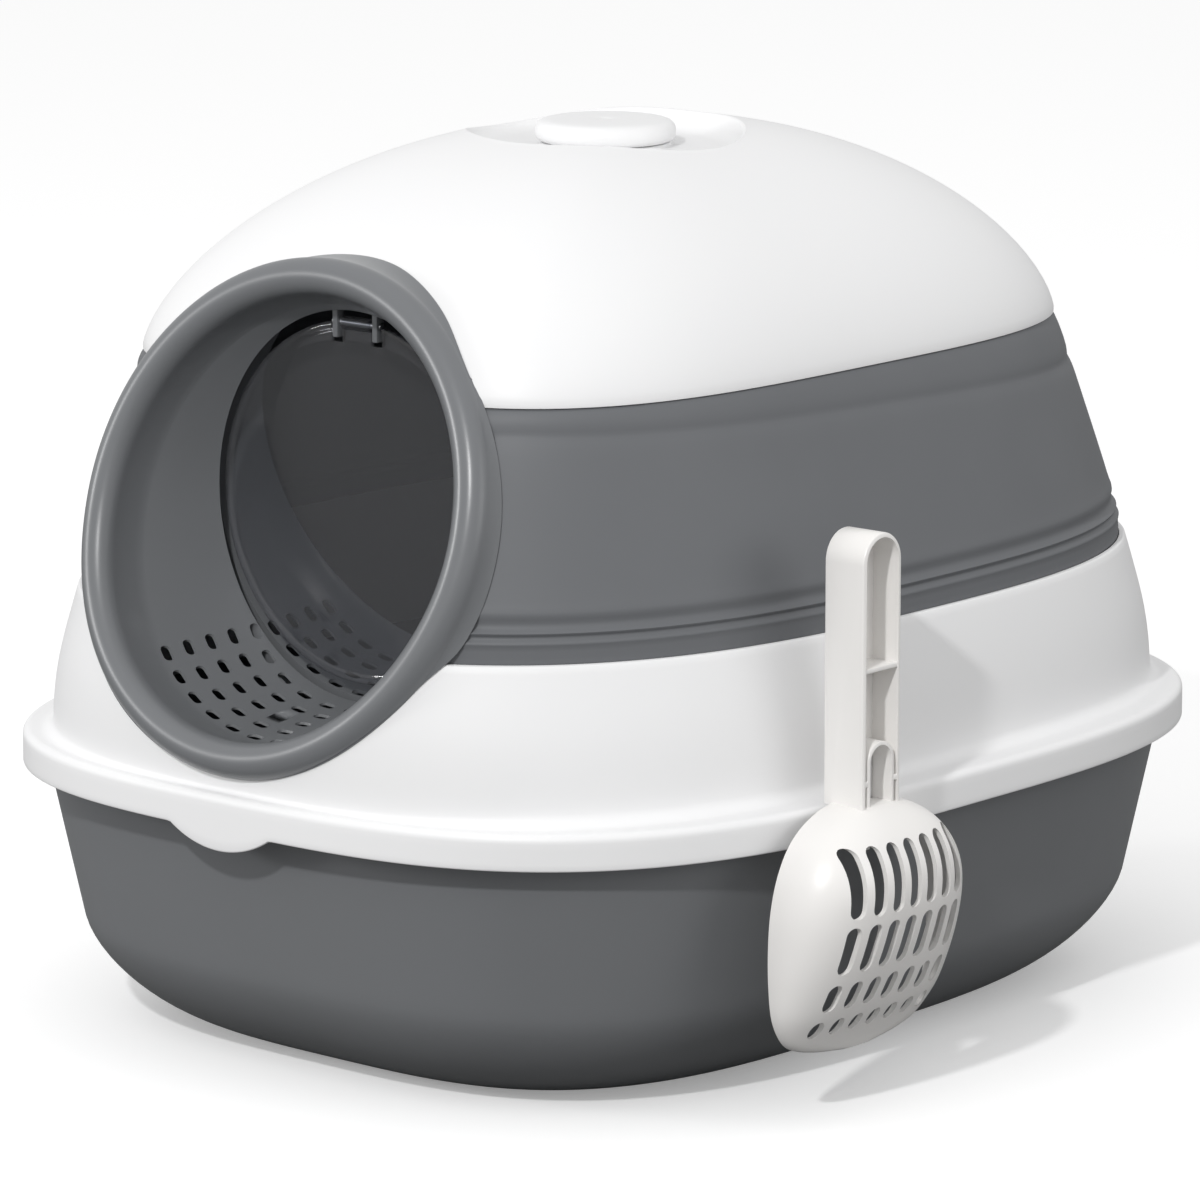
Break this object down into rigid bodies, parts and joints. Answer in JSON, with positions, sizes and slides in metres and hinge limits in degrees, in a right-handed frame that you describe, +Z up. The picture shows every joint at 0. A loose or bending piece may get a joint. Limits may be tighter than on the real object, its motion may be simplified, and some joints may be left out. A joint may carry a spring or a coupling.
{
  "type": "covered litter box",
  "caption": "Covered cat litter box: deep tray, two-part hood joined by a folding band, round tilted entrance with a hanging clear flap, filter cap on top and a slotted scoop on a side hook.",
  "frame": {"origin": "centre of the tray's flat base, on the floor", "axes": "+Z up; the entrance faces -Y; the scoop hangs at the +X side"},
  "size_m": [0.4673, 0.52, 0.402],
  "materials": {
    "gray_plastic": "satin",
    "white_plastic": "satin",
    "gray_elastomer": "matte",
    "ring_plastic": "satin",
    "clear_plastic": "gloss",
    "scoop_plastic": "satin",
    "pin_steel": "satin",
    "charcoal_felt": "matte"
  },
  "bodies": {
    "tray": {"base_tray": "gray_plastic"},
    "hood": {"hood_lower": "white_plastic", "folding_band": "gray_elastomer"},
    "dome": {"top_dome": "white_plastic"},
    "cap": {"filter_cap": "white_plastic", "filter_basket": "white_plastic", "charcoal_pad": "charcoal_felt"},
    "entrance": {"entrance_front_ring": "ring_plastic", "entrance_rear_ring": "ring_plastic", "ring_screws": "pin_steel", "hinge_pin": "pin_steel"},
    "flap": {"flap_panel": "clear_plastic"},
    "scoop_body": {"scoop": "scoop_plastic"}
  },
  "joints": [
    {"name": "hood_lift", "type": "slide", "parent": "tray", "child": "hood", "axis": [0, 0, 1], "range_m": [0, 0.25]},
    {"name": "dome_fold", "type": "slide", "parent": "hood", "child": "dome", "axis": [0, 0, -1], "range_m": [0, 0.12]},
    {"name": "entrance_pull", "type": "slide", "parent": "hood", "child": "entrance", "axis": [0, -1, 0], "range_m": [0, 0.36]},
    {"name": "flap_swing", "type": "hinge", "parent": "entrance", "child": "flap", "pos_m": [0, -0.1688, 0.3289], "axis": [1, 0, 0], "range_deg": [-70, 70]},
    {"name": "cap_lift", "type": "slide", "parent": "dome", "child": "cap", "axis": [0, 0, 1], "range_m": [0, 0.04]},
    {"name": "scoop_lift", "type": "slide", "parent": "hood", "child": "scoop_body", "axis": [0, 0, 1], "range_m": [0, 0.04]}
  ],
  "couplings": [
    {"joint": "entrance_pull", "follows": "dome_fold", "ratio": 3}
  ]
}
